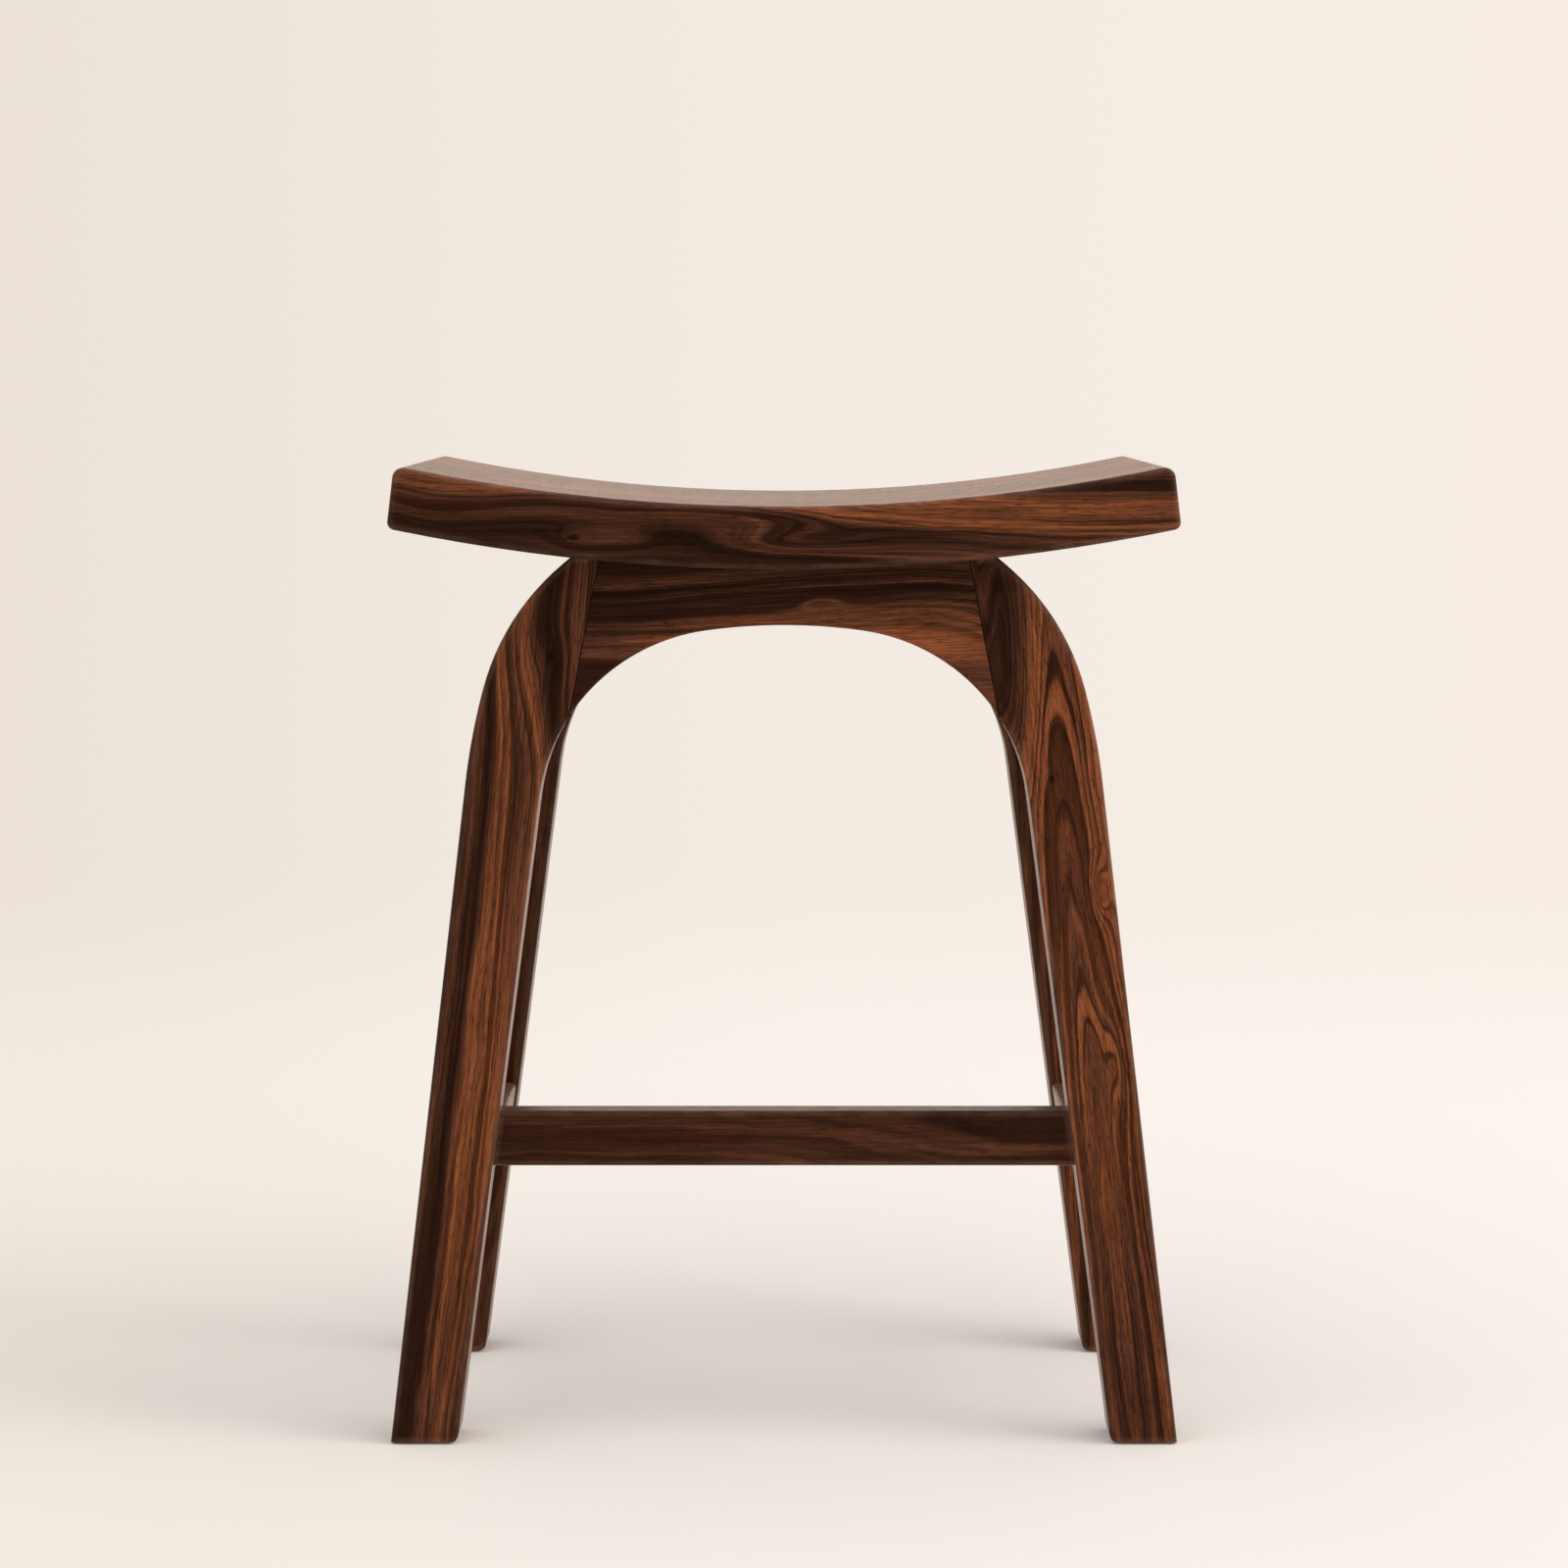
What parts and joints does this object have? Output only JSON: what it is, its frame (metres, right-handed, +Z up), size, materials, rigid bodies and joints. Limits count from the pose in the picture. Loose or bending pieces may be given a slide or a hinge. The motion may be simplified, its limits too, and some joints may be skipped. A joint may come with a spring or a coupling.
{
  "type": "counter stool",
  "caption": "Backless counter stool with a hollowed plank seat on two arched wooden trestles, tied by side rails, side stretchers and a front footrest.",
  "frame": {"origin": "on the floor, under the middle of the seat", "axes": "+Z up, -Y towards the front (the side with the footrest), +X to the right seen from the front"},
  "size_m": [0.5116, 0.34, 0.6344],
  "materials": {
    "seat_walnut": "satin oiled walnut, grain from left to right",
    "frame_walnut": "satin oiled walnut, grain along each piece",
    "block_walnut": "sawn walnut, unpolished",
    "dowel_beech": "plain beech",
    "screw_steel": "zinc plated",
    "glide_nylon": "matte"
  },
  "bodies": {
    "root": {"seat_board_front": "seat_walnut", "seat_board_front_middle": "seat_walnut", "seat_board_rear_middle": "seat_walnut", "seat_board_rear": "seat_walnut", "seat_dowels": "dowel_beech", "front_left_leg": "frame_walnut", "front_right_leg": "frame_walnut", "rear_left_leg": "frame_walnut", "rear_right_leg": "frame_walnut", "front_arch_rail": "frame_walnut", "rear_arch_rail": "frame_walnut", "front_loose_tenons": "dowel_beech", "rear_loose_tenons": "dowel_beech", "left_side_rail": "frame_walnut", "right_side_rail": "frame_walnut", "footrest": "frame_walnut", "left_side_stretcher": "frame_walnut", "right_side_stretcher": "frame_walnut", "front_left_corner_block": "block_walnut", "front_right_corner_block": "block_walnut", "rear_left_corner_block": "block_walnut", "rear_right_corner_block": "block_walnut", "corner_block_screws": "screw_steel", "seat_screws": "screw_steel", "front_left_glide": "glide_nylon", "front_right_glide": "glide_nylon", "rear_left_glide": "glide_nylon", "rear_right_glide": "glide_nylon"}
  },
  "joints": []
}
